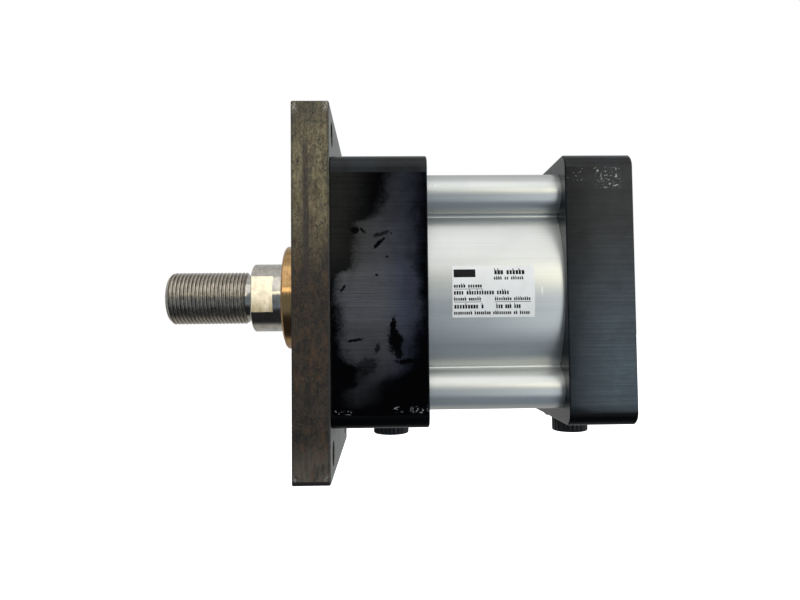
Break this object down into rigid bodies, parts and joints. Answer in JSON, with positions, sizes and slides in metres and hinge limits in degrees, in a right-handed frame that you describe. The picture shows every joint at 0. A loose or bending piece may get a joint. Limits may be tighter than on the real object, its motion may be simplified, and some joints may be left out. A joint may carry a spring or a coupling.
{
  "type": "pneumatic cylinder",
  "caption": "Short-stroke tie-rod pneumatic cylinder with a rectangular head flange, threaded rod end, bronze gland and plugged ports.",
  "frame": {"origin": "centre of the flange's front mounting face, on the rod axis", "axes": "X along the cylinder axis, rod end towards -X and cap towards +X; Y across the flange's short side; Z along the flange's long side, with both ports opening towards -Z"},
  "size_m": [0.2096, 0.1142, 0.1588],
  "materials": {
    "raw_steel": "hot-rolled steel with mill scale and light rust",
    "black_anodised": "black anodised over fine machining lines",
    "clear_anodised": "clear anodised extrusion, satin",
    "plain_steel": "drawn",
    "dark_steel": "black oxide",
    "label_film": "printed film, greeked bars only",
    "bronze": "turned bearing bronze",
    "seal_rubber": "matte nitrile",
    "polished_steel": "ground and polished, thread as cut",
    "plain_aluminium": "turned",
    "guide_plastic": "filled bearing plastic",
    "black_plastic": "moulded"
  },
  "bodies": {
    "housing": {"mounting_flange": "raw_steel", "head": "black_anodised", "cap": "black_anodised", "barrel": "clear_anodised", "tie_rods": "plain_steel", "tie_rod_nuts_front": "dark_steel", "tie_rod_nuts_rear": "dark_steel", "rating_label": "label_film", "rod_gland": "bronze", "rod_wiper": "seal_rubber", "rod_seal": "seal_rubber", "gland_o_ring": "seal_rubber", "barrel_seal_front": "seal_rubber", "barrel_seal_rear": "seal_rubber"},
    "piston_rings": {"piston_seal_front": "seal_rubber", "piston_seal_rear": "seal_rubber", "piston_wear_band": "guide_plastic"},
    "rod": {"piston_rod": "polished_steel", "piston": "plain_aluminium", "piston_nut": "dark_steel", "rod_o_ring": "seal_rubber"},
    "head_plug": {"head_port_plug": "black_plastic"},
    "cap_plug": {"cap_port_plug": "black_plastic"}
  },
  "joints": [
    {"name": "rod_stroke", "type": "slide", "parent": "housing", "child": "piston_rings", "axis": [-1, 0, 0], "range_m": [0, 0.01905]},
    {"name": "rod_turn", "type": "hinge", "parent": "piston_rings", "child": "rod", "pos_m": [0, 0, 0], "axis": [1, 0, 0], "continuous": true},
    {"name": "head_plug_out", "type": "slide", "parent": "housing", "child": "head_plug", "axis": [0, 0, -1], "range_m": [0, 0.03]},
    {"name": "cap_plug_out", "type": "slide", "parent": "housing", "child": "cap_plug", "axis": [0, 0, -1], "range_m": [0, 0.03]}
  ]
}
